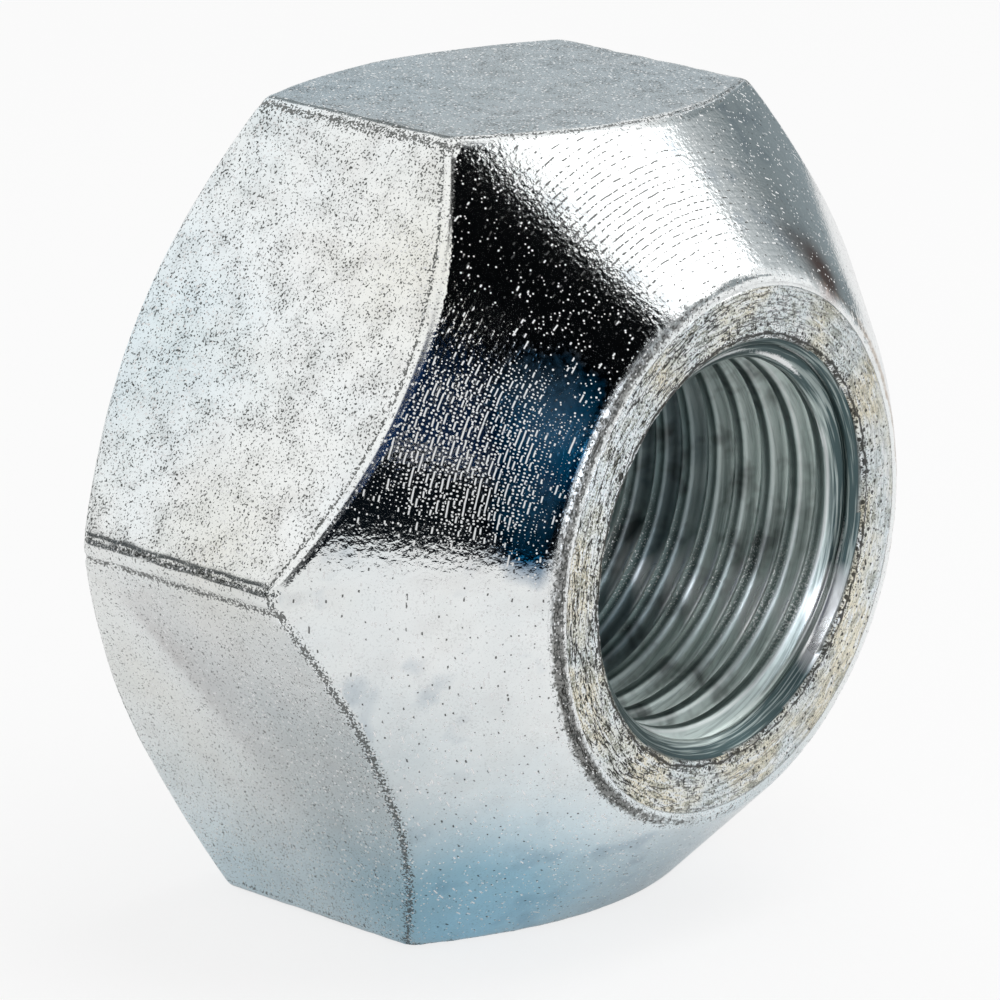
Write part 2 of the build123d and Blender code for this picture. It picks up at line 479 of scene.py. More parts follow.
def weathered_outside(theta, sizes):
    """The outside as points pushed inwards, with its masks. Forged flats get a faint swell, the edges are
    chipped, the nose is rubbed down on one side, and the end face is torn in rings."""
    radius, along, rows = outer_profile(theta, sizes)
    points = grid_points(radius, along, theta)
    normal = grid_normals(points)
    where = {name: np.zeros(radius.shape) for name in rows}
    for name, span in rows.items():
        where[name][span] = 1
    hexagon = hexagon_radius(theta, sizes)
    from_corner = (theta + SECTOR / 2) % SECTOR - SECTOR / 2
    seat_y = FRONT + hexagon - sizes.nose_radius
    chamfer_y = BACK - (hexagon - sizes.back_radius) * math.tan(sizes.back_chamfer)
    on_side = where["flat"] + where["seat_edge"] + where["chamfer_edge"]
    to_seat_edge = np.hypot(radius - hexagon, along - seat_y)
    to_chamfer_edge = np.hypot(radius - hexagon, along - chamfer_y)
    to_nose = np.hypot(radius - sizes.nose_radius, along - FRONT)
    to_back = np.hypot(radius - sizes.back_radius, along - BACK)

    past_corner = hexagon * np.sin(from_corner) + np.zeros(radius.shape)
    corners = corner_wear(theta, past_corner) * on_side
    past_edge = np.where(along > seat_y, to_seat_edge, -to_seat_edge)
    arches = seat_edge_wear(theta, past_edge)
    backs = np.maximum(0.55 * band(to_chamfer_edge, 0, 0.13 * MM), 0.35 * band(to_back, 0, 0.12 * MM))
    worn = np.maximum(np.maximum(corners, arches), backs)

    fine = layered_noise(points, 0.8 * MM, 11)
    grit = np.abs(layered_noise(points, 0.35 * MM, 12, 2))
    slow = layered_noise(points, 9 * MM, 13, 2)
    crumble = 0.02 + 0.07 * np.clip(fine + 0.35, 0, 1) + 0.06 * grit
    loss = 0.025 * (1 - slow) * on_side
    loss += worn * crumble
    loss += 0.04 * np.clip(fine + 0.2, 0, 1) * band(past_corner, 0, 0.75 * MM) * on_side
    loss += 0.05 * (np.clip(fine + 0.2, 0, 1) + grit) * band(to_nose, 0, 0.55 * MM)
    face = where["nose"] + where["mouth"]
    tears = torn_rings(points, radius)
    loss += face * (0.07 * np.clip(tears, 0, 1) + 0.04 * grit)
    rubbed = round_the_axis(theta, 37, 34) * band(to_nose, 0, 1.3 * MM)
    points = points - normal * (loss * MM + rubbed * sizes.nose_wear)[..., None]

    lathe = np.stack(np.broadcast_arrays(np.cos(theta), radius / MM, np.sin(theta)), axis=-1)
    rounding = nose_ring(radius, along, 12.74, 0.38)
    left = np.clip(round_the_axis(theta, 205, 60) + 0.5 * round_the_axis(theta, 130, 30), 0, 1)
    right = round_the_axis(theta, 20, 50)
    lower_left = (np.abs(theta - 3.5 * SECTOR) < SECTOR / 2) * on_side
    # A painted reflection on the lower left flat: a light streak, with painted shade beside it
    light, dark = painted_streak(points)
    masks = {
        "worn": worn,
        "rim": rounding * left,
        "ragged": np.clip(1.15 * round_the_axis(theta, 170, 95) + 0.25, 0, 1) + np.zeros(radius.shape),
        # A painted highlight: residue and dulling stay off this band by the seat edge, so it reads bright
        "polished": band(to_seat_edge, 0, 0.22 * MM) * (on_side + where["seat"] > 0),
        "streak": light * lower_left,
        "shaded": dark * lower_left,
        "clean": lower_left + np.zeros(radius.shape),
        "brown": nose_ring(radius, along, 13.05, 0.4) * right,
        "turned": sum(where[name] for name in ("seat", "nose_round", "chamfer", "back_edge", "back")),
        "nose": face,
        "lathe": lathe,
    }
    masks.update({name: np.zeros(radius.shape) for name in BORE_MASKS})
    return points, masks


def torn_rings(points, radius):
    """Torn turning marks from -1 to 1: noise drawn out along circles, by measuring it in stretched
    coordinates where the radius counts four times as much as the way round."""
    unit = points / np.maximum(radius, 1e-9)[..., None]
    stretched = np.stack([unit[..., 0] * 14, radius / MM * 5.5, unit[..., 2] * 14], axis=-1)
    return layered_noise(stretched, 1.0, 21, 2)


def stain(points, spots, cell, seed):
    """Where a colour of the passivate gathers, from 0 to 1. Each spot adds its strength times
    exp(-(distance / radius)^2), and noise wears their outlines."""
    millimetres = points / MM
    total = 0.12 * layered_noise(points, cell, seed, 4)
    for x, y, z, radius, strength in spots:
        away = np.linalg.norm(millimetres - (x, y, z), axis=-1)
        total = total + strength * np.exp(-((away / radius) ** 2))
    return np.clip(total, 0, 1)


def joined_grid(outside, bore, pitch_rows):
    """Faces of the two grids, joined at both mouths into one closed skin. The bore has a third of the
    columns, so each of its end quads is a fan over three outer columns. Held rows share one ring of points,
    and faces that have collapsed there are left out or become triangles. The bore's last column meets its
    first one pitch further on, as the thread does."""
    rows_out, columns_out = outside.shape[:2]
    rows_in, columns_in = bore.shape[:2]
    step = columns_out // columns_in
    index_out = np.arange(rows_out * columns_out).reshape(rows_out, columns_out)
    index_in = index_out.size + np.arange(rows_in * columns_in).reshape(rows_in, columns_in)
    along = bore[..., 1]
    held_back = along >= along.max() - 1e-9
    held_front = along <= along.min() + 1e-9
    index_in = np.where(held_back, index_out[-1, ::step], index_in)
    index_in = np.where(held_front, index_out[0, ::step], index_in)
    following = np.roll(index_in, -1, axis=1)
    following[:, -1] = index_out[0, 0]
    following[:-pitch_rows, -1] = index_in[pitch_rows:, 0]
    quads = [ring_quads(index_out, np.roll(index_out, -1, axis=1)), ring_quads(index_in, following)]
    fans = []
    for ring, turn in ((index_out[-1], -1), (index_out[0], 1)):
        hub = ring[::step]
        following = np.roll(hub, -1)
        inner = ring.reshape(-1, step)
        for k in range(1, step - 1):
            fans.append(np.stack([hub, inner[:, k], inner[:, k + 1]][::turn], axis=-1))
        fans.append(np.stack([hub, inner[:, -1], following][::turn], axis=-1))
    return np.concatenate(quads), np.concatenate(fans)


def ring_quads(index, following):
    """Quads between neighbouring rows of a grid, from each column to the one that follows it."""
    return np.stack([index[:-1], index[1:], following[1:], following[:-1]], axis=-1).reshape(-1, 4)


def tidy_faces(quads, fans):
    """Lists of faces as vertex numbers. A quad with two equal neighbours becomes a triangle, and one with
    fewer than three different corners is dropped."""
    same = quads == np.roll(quads, -1, axis=1)
    whole = quads[~same.any(axis=1)]
    part = quads[same.sum(axis=1) == 1]
    keep = ~same[same.sum(axis=1) == 1]
    triangles = part[keep].reshape(-1, 3)
    triangles = np.concatenate([triangles, fans])
    a, b, c = triangles.T
    triangles = triangles[(a != b) & (b != c) & (a != c)]
    return whole, triangles


def mesh_from_arrays(name, points, quads, triangles):
    """A mesh from arrays of points, quads and triangles. Points that no face uses are left out."""
    used, loops = np.unique(np.concatenate([quads.ravel(), triangles.ravel()]), return_inverse=True)
    counts = np.concatenate([np.full(len(quads), 4), np.full(len(triangles), 3)])
    mesh = bpy.data.meshes.new(name)
    mesh.vertices.add(len(used))
    mesh.vertices.foreach_set("co", points[used].astype(np.float32).ravel())
    mesh.loops.add(len(loops))
    mesh.loops.foreach_set("vertex_index", loops.astype(np.int32))
    mesh.polygons.add(len(counts))
    starts = np.concatenate([[0], np.cumsum(counts)[:-1]])
    mesh.polygons.foreach_set("loop_start", starts.astype(np.int32))
    mesh.polygons.foreach_set("use_smooth", np.ones(len(counts), bool))
    mesh.update(calc_edges=True)
    mesh.validate()
    return mesh, used


def store(mesh, name, values, domain="POINT"):
    """Keeps one number or one vector per point or face corner in the mesh, for the material to read."""
    kind, field = ("FLOAT", "value") if values.ndim == 1 else ("FLOAT_VECTOR", "vector")
    attribute = mesh.attributes.new(name, kind, domain)
    attribute.data.foreach_set(field, values.astype(np.float32).ravel())


def corner_angles(theta, faces):
    """The angle round the axis at every corner of the faces. A face that spans the start of the turn
    counts on past a full one."""
    angle = theta[faces]
    spans = angle.max(axis=1, keepdims=True) - angle.min(axis=1, keepdims=True) > math.pi
    return np.where(spans & (angle < math.pi), angle + 2 * math.pi, angle).ravel()


def nut_mesh(sizes):
    """The whole nut as one closed mesh, with the masks that its material reads."""
    theta = column_angles(sizes)
    outside, masks = weathered_outside(theta, sizes)
    bore_theta = theta[::3]
    radius, along, crest, lip = bore_profile(bore_theta, sizes, FRONT + MOUTH_BEVEL, BACK - MOUTH_BEVEL)
    bore = grid_points(radius, along, bore_theta)
    away = np.stack([np.cos(bore_theta), np.zeros_like(bore_theta), np.sin(bore_theta)], axis=-1)
    rough = layered_noise(bore, 0.8 * MM, 31) * 0.02 * MM + layered_noise(bore, 5 * MM, 32) * 0.03 * MM
    from_mouth = np.minimum(along - along.min(), along.max() - along)
    bore = bore + away[None] * (rough * (from_mouth > 0.3 * MM))[..., None]
    depth = (sizes.thread_major + sizes.mouth_clearance + from_mouth) / MM
    inner = {name: np.zeros(radius.shape) for name in masks}
    inner["thread"] = np.ones(radius.shape)
    inner["deep"] = from_mouth / MM + 0.5 * round_the_axis(bore_theta, -95, 40)
    inner["crest"] = crest
    inner["lip"] = lip
    # Where painted glints go in the bore: a band round -32 degrees
    inner["glint"] = round_the_axis(bore_theta, -32, 15) + np.zeros(radius.shape)
    inner["lathe"] = np.stack(np.broadcast_arrays(np.cos(bore_theta), depth, np.sin(bore_theta)), axis=-1)
    quads, fans = joined_grid(outside, bore, len(thread_rows()[0]))
    quads, triangles = tidy_faces(quads, fans)
    points = np.concatenate([outside.reshape(-1, 3), bore.reshape(-1, 3)])
    angles = np.concatenate([np.tile(theta, outside.shape[0]), np.tile(bore_theta, bore.shape[0])])
    mesh, used = mesh_from_arrays("lug_nut", points, quads, triangles)
    for name, values in inner.items():
        width = values.shape[2:]
        both = np.concatenate([masks[name].reshape(-1, *width), values.reshape(-1, *width)])
        store(mesh, name, both[used])
    turn = np.concatenate([corner_angles(angles, quads), corner_angles(angles, triangles)])
    store(mesh, "turn", turn, "CORNER")
    for name, (cell, seed, spots) in STAINS.items():
        store(mesh, name, stain(points, spots, cell * MM, seed)[used])
    return mesh


# ---------------------------------------------------------------------------------------------
# Materials
# ---------------------------------------------------------------------------------------------


def linear(hex_colour):
    """An sRGB hex colour as linear red, green, blue and alpha."""
    channels = [int(hex_colour[i : i + 2], 16) / 255 for i in (0, 2, 4)]
    return tuple(c / 12.92 if c <= 0.04045 else ((c + 0.055) / 1.055) ** 2.4 for c in channels) + (1.0,)


def add_node(tree, kind, *inputs, **settings):
    """Adds one shader node, whose kind may carry its operation after a space, and sets its properties. Its
    inputs come in their own order or, by name, in a dictionary. Each is filled with a value, with another
    node's first output, or with a given output."""
    kind, _, operation = kind.partition(" ")
    node = tree.nodes.new("ShaderNode" + kind)
    if operation:
        node.operation = operation
    for name, value in settings.items():
        setattr(node, name, value)
    by_name = inputs and isinstance(inputs[0], dict)
    for key, value in inputs[0].items() if by_name else enumerate(inputs):
        source = value.outputs[0] if isinstance(value, bpy.types.Node) else value
        if isinstance(source, bpy.types.NodeSocket):
            tree.links.new(source, node.inputs[key])
        else:
            node.inputs[key].default_value = source
    return node


def new_tree(owner):
    """Turns on nodes in a material or world, and gives back its emptied node tree."""
    owner.use_nodes = True
    owner.node_tree.nodes.clear()
    return owner.node_tree


def off_centre(add, value, centre):
    """How far a value lies from a centre, to either side."""
    return add("Math ABSOLUTE", add("Math SUBTRACT", value, centre))


def overlay(add, colour, layers):
    """Lays colours over one another. Each layer is how much of it shows, from 0 to 1, and its colour, as a
    hex value or as another node's output."""
    colour = linear(colour)
    for share, over in layers:
        over = linear(over) if isinstance(over, str) else over
        colour = add("Mix", {0: share, 6: colour, 7: over}, data_type="RGBA").outputs[2]
    return colour


def shared_fields(add):
    """What more than one layer of the finish draws on: the mesh's masks, coordinates in millimetres, noise,
    pits 0.4 mm apart, and where the plate is flat, whole, off the painted highlight along the seat edge,
    and not lightened on the lower left flat or under its painted light streak."""
    at = types.SimpleNamespace()
    for name in SURFACE_MASKS:
        setattr(at, name, add("Attribute", attribute_name=name).outputs["Fac"])
    at.lathe = add("Attribute", attribute_name="lathe").outputs["Vector"]
    at.feed = add("SeparateXYZ", at.lathe).outputs["Y"]
    at.place = add("VectorMath SCALE", {0: add("TexCoord").outputs["Object"], "Scale": 1 / MM})
    for name, (cell, detail, roughness) in SPACE_NOISE.items():
        noise = {"Vector": at.place, "Scale": 1 / cell, "Detail": detail, "Roughness": roughness}
        setattr(at, name, add("TexNoise", noise))
    for name, (cells, detail, roughness) in LATHE_NOISE.items():
        drawn_out = add("VectorMath MULTIPLY", at.lathe, cells)
        noise = {"Vector": drawn_out, "Scale": 1.0, "Detail": detail, "Roughness": roughness}
        setattr(at, name, add("TexNoise", noise))
    at.pits = add("TexVoronoi", {"Vector": at.place, "Scale": 1 / 0.40}, feature="F1")
    at.flats = add("Math SUBTRACT", 1.0, at.turned)
    at.flats = add("Math SUBTRACT", at.flats, at.nose)
    at.flats = add("Math SUBTRACT", at.flats, at.thread, use_clamp=True)
    at.plated = add("Math SUBTRACT", 1.0, at.thread)
    at.plated = add("Math SUBTRACT", at.plated, at.nose, use_clamp=True)
    # Off the painted highlight along the seat edge
    at.unpolished = add("Math SUBTRACT", 1.0, at.polished, use_clamp=True)
    # Residue and dulling are lessened on the lower left flat and all but gone under its painted light streak
    at.unwiped = add("Math MULTIPLY_ADD", at.clean, -0.82, 1.0)
    at.unwiped = add("Math SUBTRACT", at.unwiped, at.streak, use_clamp=True)
    return at


def turning_marks(add, at):
    """Turning marks along the seat, the dark dashes where they are deepest, and how far they wander."""
    wander = add("Math MULTIPLY", at.broken, 0.5)
    mark = add("Math FRACT", add("Math MULTIPLY_ADD", at.feed, 1 / MARK_SPACING, wander))
    mark = add("MapRange", off_centre(add, mark, 0.5), 0.19, 0.07)
    mark = add("Math MULTIPLY", mark, at.turned)
    arc = add("Math MULTIPLY", at.turn, SEAT_RADIUS / 0.26)
    lengths = add("CombineXYZ", arc, add("Math MULTIPLY", at.feed, 1 / 0.30))
    lengths = add("TexNoise", {"Vector": lengths, "Scale": 1.0, "Detail": 1.0}, noise_dimensions="2D")
    scored = add("MapRange", at.scored, 0, 1, -0.22, 0.04)
    dash = add("MapRange", add("Math ADD", lengths, scored), 0.455, 0.52, 0, 0.85)
    dash = add("Math MULTIPLY", dash, add("Math POWER", mark, 2.0))
    return mark, dash, wander


def white_specks_and_glints(add, at, wander):
    """Painted highlights: matt white specks, like white rust, that stand in for the glints off fine bumps.
    Round specks of 0.08 mm are strewn about, and rows stand along the turning marks. A row is dots, or a
    line where it swells, and each row is broken into its own lengths."""
    specks = add("TexVoronoi", {"Vector": at.place, "Scale": 1 / 0.20}, feature="F1")
    chance = add("SeparateColor", specks.outputs["Color"]).outputs
    kept = add("Math LESS_THAN", chance[0], add("Math MULTIPLY_ADD", at.flats, 0.12, 0.45))
    speck = add("Math MULTIPLY_ADD", chance[1], -0.1, specks)
    speck = add("Math MULTIPLY_ADD", at.flats, -0.06, speck)
    speck = add("Math MULTIPLY", add("MapRange", speck, 0.18, 0.13), kept)

    rows = add("Math MULTIPLY_ADD", at.feed, 1 / ROW_SPACING, wander)
    swell = add("Math MULTIPLY_ADD", at.broken, 1.2, -0.6)
    swell = add("Math ADD", at.rowed, swell, use_clamp=True)
    dots = add("CombineXYZ", add("Math MULTIPLY", at.turn, SEAT_RADIUS / 0.18), rows)
    dots = add("TexVoronoi", {"Vector": dots, "Scale": 1.0, "Randomness": 0.45}, voronoi_dimensions="2D")
    dots = add("Math SUBTRACT", add("MapRange", swell, 0.1, 0.8, -0.05, 0.27), dots)
    dots = add("MapRange", dots, 0, 0.04)
    line = add("MapRange", off_centre(add, add("Math FRACT", rows), 0.5), 0.22, 0.10)
    row_number = add("Math MULTIPLY", add("Math FLOOR", rows), 1.7)
    lengths = add("CombineXYZ", add("Math MULTIPLY", at.turn, SEAT_RADIUS / 0.5), row_number)
    lengths = add("TexNoise", {"Vector": lengths, "Scale": 1.0, "Detail": 1.0}, noise_dimensions="2D")
    joined = add("MapRange", add("Math MULTIPLY_ADD", swell, 0.2, lengths), 0.71, 0.74)
    row = add("Math SUBTRACT", dots, joined, use_clamp=True)
    row = add("Math MULTIPLY_ADD", joined, line, row, use_clamp=True)
    row = add("Math MULTIPLY", row, at.turned)
    return add("Math MULTIPLY", add("Math MAXIMUM", speck, row), at.plated)


def dark_residue(add, at):
    """Dark residue: fine grit on the flats where the mottle lets it be, much less of it on the seat, and a
    few clear pits. Little of it is left on the lower left flat and almost none under its painted light
    streak, and the grit is kept off the painted highlight along the seat edge."""
    sooty = add("MapRange", at.mottle, 0.36, 0.66, -0.06, 0.07)
    soot = add("MapRange", add("Math ADD", at.grit, sooty), 0.58, 0.70, 0, 0.85)
    rubbed = add("Math MULTIPLY_ADD", at.turned, 0.14, at.flats)
    for share in (at.unpolished, at.unwiped):
        rubbed = add("Math MULTIPLY", rubbed, share)
    soot = add("Math MULTIPLY", soot, rubbed)
    fewer = add("MapRange", at.patch, 0.38, 0.60, 0.15, 0.8)
    # Fewer pits on the lower left flat and under its painted light streak
    fainter = add("Math MULTIPLY_ADD", at.clean, -0.65, 1.0)
    fainter = add("Math SUBTRACT", fainter, at.streak, use_clamp=True)
    pit = add("MapRange", at.pits, 0.17, 0.09)
    for share in (fewer, at.flats, fainter):
        pit = add("Math MULTIPLY", pit, share)
    return add("Math MAXIMUM", soot, pit)


def torn_face(add, at, finish):
    """The torn end face: its colour, its scars, and its height in hundredths of a millimetre. Ridges and
    hollows are drawn out along circles, and the colour follows the same noise as the height: painted shade
    greys the hollows, with some grey mottle, and a painted highlight brightens the ridges. White specks on
    the ragged part are painted glints. Thin cracks and grit lie between them where it is ragged, pits come
    near the mouth, and one crack runs round it."""
    calm = add("Math MULTIPLY_ADD", at.ragged, 0.7, 0.3, use_clamp=True)
    hollow_shade = add("Math MULTIPLY", add("MapRange", at.torn, 0.47, 0.38), calm)
    hollow_shade = add("Math MAXIMUM", hollow_shade, add("MapRange", at.mottle, 0.55, 0.60, 0, 0.6))
    crack = add("MapRange", off_centre(add, at.cracks, 0.5), 0.026, 0.013, 0, 0.95)
    crack = add("Math MULTIPLY", crack, at.ragged)
    near_mouth = add("MapRange", at.feed, 11.2, 9.9, 0, 0.14)
    hole = add("MapRange", add("Math SUBTRACT", near_mouth, at.pits), -0.20, -0.14, 0, 0.9)
    gritty = add("Math MULTIPLY_ADD", at.mottle, 0.45, at.grit)
    gritty = add("Math MULTIPLY_ADD", near_mouth, 1.2, gritty)
    gritty = add("MapRange", gritty, 0.90, 0.97, 0, 0.85)
    split = off_centre(add, add("Math MULTIPLY_ADD", at.mottle, 0.6, at.feed), 10.37)
    split = add("MapRange", add("Math MULTIPLY_ADD", at.grain, -0.2, split), 0, -0.06, 0, 0.9)
    scar = add("Math MULTIPLY", add("MapRange", at.grit, 0.585, 0.64, 0, 0.8), at.ragged)
    for part in (crack, gritty, hole, split):
        scar = add("Math MAXIMUM", scar, part)
    scar = add("Math MULTIPLY", scar, add("Math MAXIMUM", at.nose, at.rim))
    layers = (
        (add("MapRange", at.patch, 0.42, 0.58), finish.torn_blue),
        # Painted shade in the hollows, with some grey mottle
        (hollow_shade, finish.torn_grey_and_shade),
        # Painted highlight on the ridges
        (add("MapRange", at.torn, 0.50, 0.60), finish.bright),
        # White specks on the ragged part, painted glints
        (add("Math MULTIPLY", add("MapRange", at.grit, 0.43, 0.36), at.ragged), finish.oxide_and_glints),
    )
    height = add("Math MULTIPLY_ADD", crack, -5.0, add("Math MULTIPLY", at.torn, 15.0))
    return overlay(add, finish.torn, layers), scar, height


def crumbled_edges(add, at):
    """Chipped metal along the edges: coarse grit in the bands of wear, finer towards their sides."""
    crumb = add("Math MULTIPLY_ADD", at.grain, 0.5, at.grit)
    crumb = add("Math MULTIPLY_ADD", at.worn, 0.27, crumb)
    crumb = add("Math MULTIPLY_ADD", at.rim, 0.16, crumb)
    edge = add("MapRange", add("Math MAXIMUM", at.worn, at.rim), 0.02, 0.2)
    for part in (at.flats, at.nose):
        edge = add("Math MAXIMUM", edge, part)
    return add("Math MULTIPLY", add("MapRange", crumb, 0.90, 0.98, 0, 0.9), edge)


def thread_finish(add, at, finish):
    """The thread: its colour, how dull its crests are, and its painted glints. Cutting lines streak it, it
    is dark in the mouth, painted shade darkens it deep inside, and grime lies on it in blotches. Painted
    highlights in white lie in a band round -32 degrees, as patches and as beads on the crests, and all
    round along the crest edges near the mouth and on the lip of the countersink."""
    lines = add("MapRange", at.cut_lines, 0.40, 0.62, -0.32, 0.4)
    lighter = add("Math ADD", add("MapRange", at.deep, 0.85, 1.5), lines, use_clamp=True)
    # Painted shade: darker deep inside the bore, where it starts is moved by blotches
    darker = add("MapRange", add("Math MULTIPLY_ADD", at.blotch, 4.0, at.deep), 9.0, 12.0)
    top = add("Math MULTIPLY", add("Math POWER", at.crest, 3.0), 0.7)
    dirt = add("MapRange", at.dirt, 0.50, 0.66, 0, 0.75)
    dirt = add("Math MULTIPLY", dirt, add("MapRange", at.deep, 1.5, 5.0, 0.25))
    # A painted highlight: white patches on the flanks in the glint band
    glint = add("Math MULTIPLY_ADD", at.crest, -0.75, at.glint)
    glint = add("Math MULTIPLY_ADD", at.blotch, 1.6, glint)
    glint = add("Math MULTIPLY", add("MapRange", glint, 1.12, 1.7), at.thread)
    # Painted glints: white beads on the crests in the glint band, more of them near the mouth
    beads = add("MapRange", at.deep, 7.0, 1.0, 0, 0.12)
    beads = add("Math MULTIPLY_ADD", at.grit, at.crest, beads)
    beads = add("Math MULTIPLY", add("MapRange", beads, 0.62, 0.68, 0, 0.9), at.glint)
    # A painted highlight along the crest edges, strongest near the mouth
    crest_edge_highlight = add("MapRange", off_centre(add, at.crest, 0.84), 0.14, 0.04, 0, 0.45)
    for share in (add("MapRange", at.deep, 5.0, 1.5, 0.2), at.thread):
        crest_edge_highlight = add("Math MULTIPLY", crest_edge_highlight, share)
    # A painted highlight along the lip of the countersink
    lip = add("MapRange", add("Math MULTIPLY_ADD", at.grit, 0.5, at.lip), 0.62, 0.95, 0, 0.9)
    for part in (crest_edge_highlight, lip):
        beads = add("Math MAXIMUM", beads, part)
    layers = (
        (lighter, finish.thread),
        (darker, finish.thread_deep_shade),
        (top, finish.crest),
        (dirt, finish.grime),
        (glint, finish.oxide_and_glints),
        (beads, finish.oxide_and_glints),
    )
    return overlay(add, finish.mouth, layers), top, glint


def zinc_plated_steel(finish):
    """Bright zinc plate with a clear blue passivate, over forged and turned steel. It mirrors the studio
    sharply on the turned seat and more softly on the forged flats. Matt white specks that stand in for
    glints, pits and turning marks break it up, and it is dull on the torn end face, on the rim and in the
    thread. Painted shade and highlights lie on the lower left flat, on the seat edge, on the end face and
    in the thread."""
    material = bpy.data.materials.new("zinc_plated_steel")
    add = functools.partial(add_node, new_tree(material))
    at = shared_fields(add)
    mark, dash, wander = turning_marks(add, at)
    oxide_and_glints = white_specks_and_glints(add, at, wander)
    residue = dark_residue(add, at)
    face, scar, relief = torn_face(add, at, finish)
    for part in (scar, dash):
        residue = add("Math MAXIMUM", residue, part)
    chip = crumbled_edges(add, at)
    thread, top, glint = thread_finish(add, at, finish)

    # Height, in hundredths of a millimetre
    height = add("Math MULTIPLY", at.grain, add("Math MULTIPLY_ADD", at.turned, 0.9, 0.6))
    for share, depth in ((mark, -0.12), (chip, -3.0), (relief, at.nose)):
        height = add("Math MULTIPLY_ADD", share, depth, height)
    bump = add("Bump", {"Strength": 1.0, "Distance": 0.01 * MM, "Height": height})

    # Colour: plate, stains, painted shade and streak, end face, rim, thread, residue, chips, painted glints
    # Random dulling of the flats, none on the seat edge's painted highlight, less on the lower left flat
    dulled = add("MapRange", at.mottle, 0.45, 0.70, 0, 0.45)
    for share in (at.flats, at.unpolished, at.unwiped):
        dulled = add("Math MULTIPLY", dulled, share)
    film = at.deep_blue
    for share in (at.turned, add("MapRange", at.feed, 13.0, 13.5)):
        film = add("Math MULTIPLY", film, share)
    layers = (
        (dulled, finish.dull),
        (at.blue, finish.blue),
        (add("MapRange", film, 0.02, 0.22), finish.deep_blue),
        (at.cream, finish.cream),
        # Painted grey-blue shade low on the nut
        (at.shade_below, finish.shade_below),
        # Painted shade beside the light streak on the lower left flat, then the streak, a painted reflection
        (add("Math MULTIPLY", at.shaded, 0.6), finish.shaded),
        (add("Math MULTIPLY", at.streak, 0.9), finish.bright),
        (at.stained, finish.stained),
        (at.nose, face),
        (add("MapRange", add("Math ADD", at.grain, at.brown), 0.9, 1.5, 0, 0.75), finish.brown),
        (add("MapRange", add("Math ADD", at.grain, at.rim), 0.85, 1.15, 0, 0.8), finish.rim),
        (at.thread, thread),
        (residue, finish.soot),
        (chip, finish.chip),
        # Matt white specks and rows, painted glints
        (oxide_and_glints, finish.oxide_and_glints),
    )

    # White glint specks and the thick blue film are not metal, nor is the thread wholly, and what is rough
    # is matt
    matt_thread = add("MapRange", at.deep, 0.7, 1.5, 0, 0.3)
    matt_thread = add("Math MULTIPLY_ADD", top, -0.5, matt_thread, use_clamp=True)
    metal = add("MapRange", add("Math MULTIPLY_ADD", at.grain, -0.6, film), -0.15, 0.65, 1.0, 0.5)
    metal = add("Math SUBTRACT", metal, matt_thread)
    metal = add("Math MULTIPLY", add("Math SUBTRACT", 1.0, oxide_and_glints), metal, use_clamp=True)
    rough = add("Math MULTIPLY_ADD", at.flats, 0.09, 0.08)
    rougher = ((at.nose, 0.28), (at.thread, 0.36), (glint, -0.2), (at.rim, 0.45))
    for share, more in rougher + ((residue, 0.3), (oxide_and_glints, 0.35)):
        rough = add("Math MULTIPLY_ADD", share, more, rough)
    colour = overlay(add, finish.bright, layers)
    surface = {"Base Color": colour, "Roughness": rough, "Metallic": metal, "Normal": bump}
    add("OutputMaterial", {"Surface": add("BsdfPrincipled", surface)})
    return material


# ---------------------------------------------------------------------------------------------
# Studio
# ---------------------------------------------------------------------------------------------


def towards(azimuth, elevation):
    """Unit vector at an azimuth, counted from -Y towards +X, and an elevation, both in degrees."""
    a, e = math.radians(azimuth), math.radians(elevation)
    return Vector((math.sin(a) * math.cos(e), -math.cos(a) * math.cos(e), math.sin(e)))


def studio_card(name, azimuths, elevations, tones, reach=0.5, radiance=1.0):
    """A card that only reflections see, bent round the nut as a patch of a sphere of the radius `reach`. It
    spans two azimuths and two elevations, and its tone grades from its first azimuth to its second."""
    across, up = np.meshgrid(np.linspace(0, 1, 13), np.linspace(0, 1, 13))
    a = np.radians(azimuths[0] + (azimuths[1] - azimuths[0]) * across)
    e = np.radians(elevations[0] + (elevations[1] - elevations[0]) * up)
    points = np.stack([np.sin(a) * np.cos(e), -np.cos(a) * np.cos(e), np.sin(e)], axis=-1) * reach
    index = np.arange(169).reshape(13, 13)
    quads = np.stack([index[:-1, :-1], index[:-1, 1:], index[1:, 1:], index[1:, :-1]], axis=-1)
    mesh = bpy.data.meshes.new(name)
    mesh.from_pydata(points.reshape(-1, 3).tolist(), [], quads.reshape(-1, 4).tolist())
    store(mesh, "across", across.ravel())
    material = bpy.data.materials.new(name)
    add = functools.partial(add_node, new_tree(material))
    share = add("Attribute", attribute_name="across").outputs["Fac"]
    tone = add("Mix", {0: share, 6: linear(tones[0]), 7: linear(tones[1])}, data_type="RGBA").outputs[2]
    add("OutputMaterial", {"Surface": add("Emission", {"Color": tone, "Strength": radiance})})
    mesh.materials.append(material)
    card = bpy.data.objects.new(name, mesh)
    bpy.context.scene.collection.objects.link(card)
    card.visible_camera = card.visible_diffuse = card.visible_shadow = False


def soft_box(name, azimuth, elevation, distance, width, height, radiance, mirrored=True):
    """A rectangular area lamp of a given radiance, facing the nut. Mirrors may be kept from showing it."""
    lamp = bpy.data.lights.new(name, "AREA")
    lamp.shape = "RECTANGLE"
    lamp.size, lamp.size_y = width, height
    lamp.energy = radiance * math.pi * width * height
    box = bpy.data.objects.new(name, lamp)
    direction = towards(azimuth, elevation)
    turn = direction.to_track_quat("Z", "Y").to_matrix().to_4x4()
    box.matrix_world = Matrix.Translation(direction * distance) @ turn
    box.visible_camera = False
    box.visible_glossy = mirrored
    bpy.context.scene.collection.objects.link(box)


